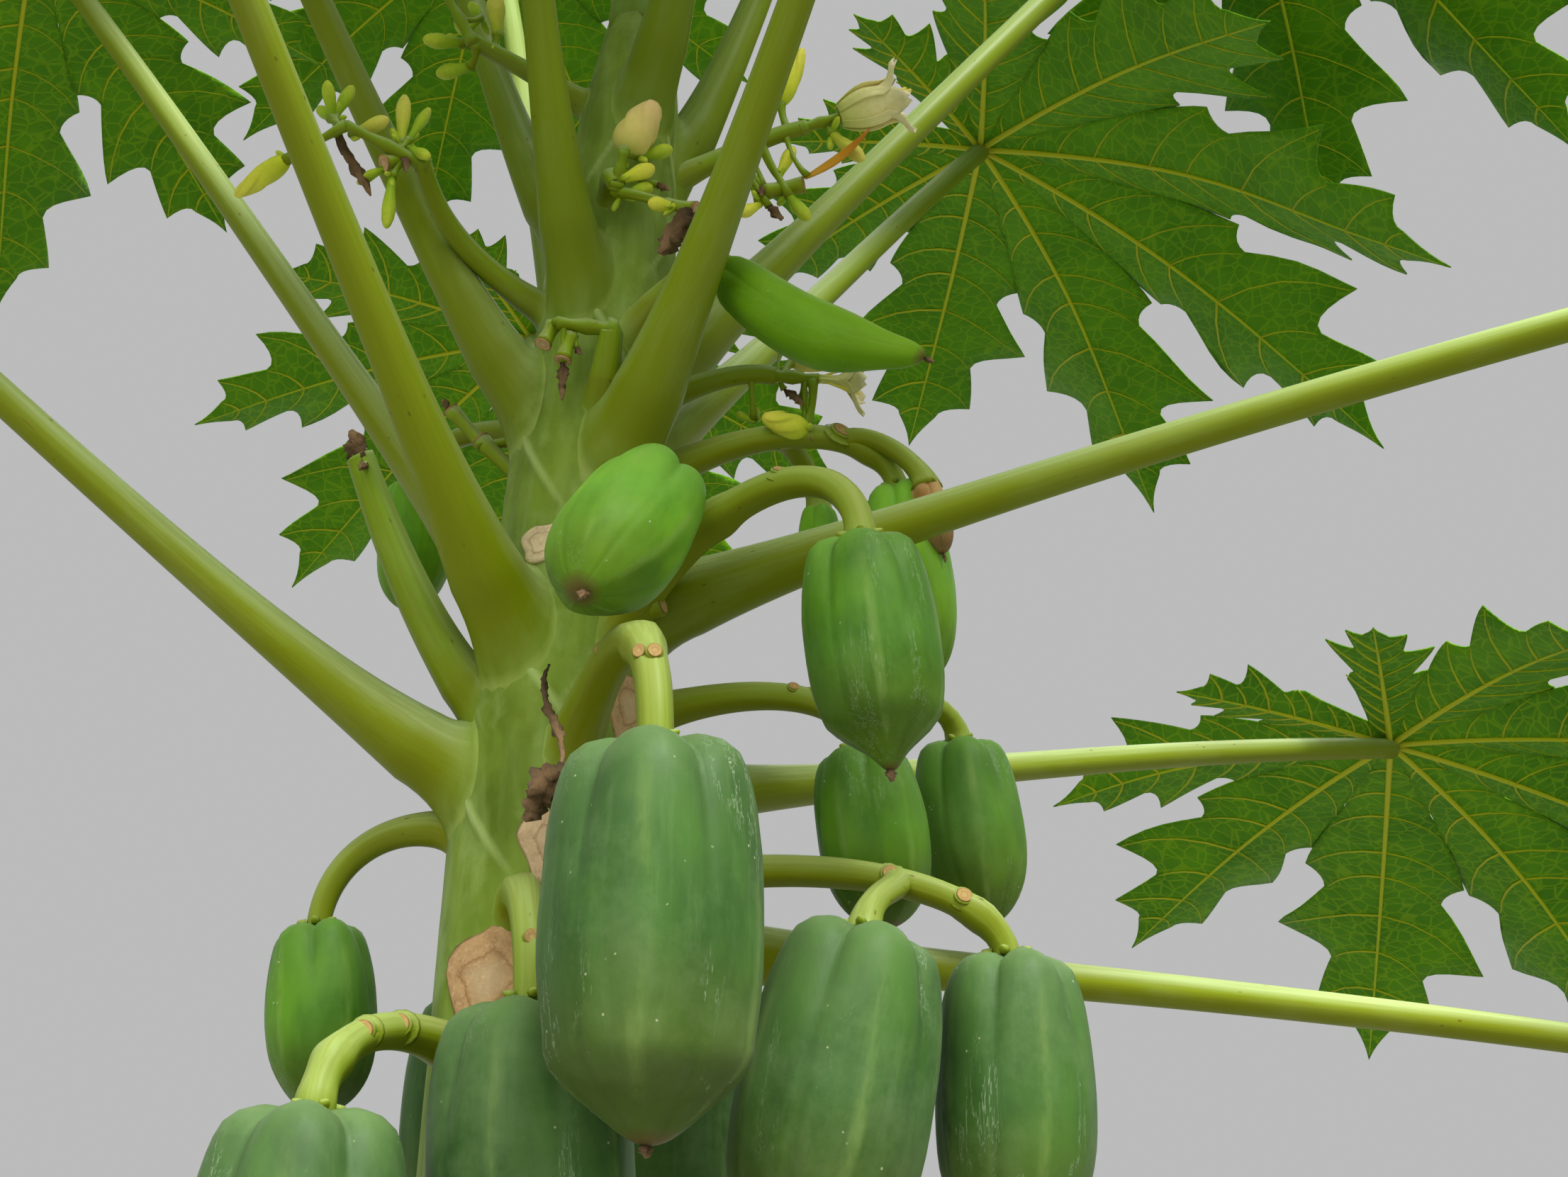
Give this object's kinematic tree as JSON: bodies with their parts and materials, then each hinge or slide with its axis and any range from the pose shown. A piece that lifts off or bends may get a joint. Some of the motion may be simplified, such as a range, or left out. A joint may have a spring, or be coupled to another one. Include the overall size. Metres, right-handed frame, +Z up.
{
  "type": "papaya tree",
  "caption": "Fruiting papaya tree: one flared stem, a crown of lobed leaves on long stalks, ribbed green fruit on curved stalks and sprays of cream buds.",
  "frame": {"origin": "middle of the flat cut under the stem, at ground level", "axes": "+Z up along the stem, +X to the right and +Y away as the reference view sees the crown"},
  "size_m": [2.1361, 1.6749, 2.9492],
  "materials": {
    "stem": "pale green, waxy, with leaf scars",
    "leaf_stalk": "smooth yellow-green skin",
    "leaf_blade": "matt green with yellow veins",
    "fruit": "waxy green skin",
    "flower": "cream and yellow-green petals"
  },
  "bodies": {
    "root": {"flower_spray_front": "flower", "flower_spray_left": "flower", "flower_spray_right": "flower", "flower_spray_right_lower": "flower", "flower_spray_top_left": "flower", "fruit_bunch_back_lower": "fruit", "fruit_bunch_back_upper": "fruit", "fruit_bunch_front": "fruit", "fruit_bunch_front_left": "fruit", "fruit_bunch_left": "fruit", "fruit_bunch_left_back": "fruit", "fruit_bunch_left_lower": "fruit", "fruit_bunch_right_lower": "fruit", "fruit_bunch_right_middle": "fruit", "fruit_bunch_right_top": "fruit", "fruit_bunch_right_upper": "fruit", "leaf_blade_01": "leaf_blade", "leaf_blade_02": "leaf_blade", "leaf_blade_03": "leaf_blade", "leaf_blade_04": "leaf_blade", "leaf_blade_05": "leaf_blade", "leaf_blade_06": "leaf_blade", "leaf_blade_07": "leaf_blade", "leaf_blade_08": "leaf_blade", "leaf_blade_09": "leaf_blade", "leaf_blade_10": "leaf_blade", "leaf_blade_11": "leaf_blade", "leaf_blade_12": "leaf_blade", "leaf_blade_13": "leaf_blade", "leaf_blade_14": "leaf_blade", "leaf_blade_15": "leaf_blade", "leaf_blade_16": "leaf_blade", "leaf_blade_17": "leaf_blade", "leaf_stalk_01": "leaf_stalk", "leaf_stalk_02": "leaf_stalk", "leaf_stalk_03": "leaf_stalk", "leaf_stalk_04": "leaf_stalk", "leaf_stalk_05": "leaf_stalk", "leaf_stalk_06": "leaf_stalk", "leaf_stalk_07": "leaf_stalk", "leaf_stalk_08": "leaf_stalk", "leaf_stalk_09": "leaf_stalk", "leaf_stalk_10": "leaf_stalk", "leaf_stalk_11": "leaf_stalk", "leaf_stalk_12": "leaf_stalk", "leaf_stalk_13": "leaf_stalk", "leaf_stalk_14": "leaf_stalk", "leaf_stalk_15": "leaf_stalk", "leaf_stalk_16": "leaf_stalk", "leaf_stalk_17": "leaf_stalk", "spent_stalk_front": "flower", "spent_stalk_left": "flower", "stem": "stem", "young_fruit": "fruit", "young_leaves": "leaf_blade"}
  },
  "joints": []
}
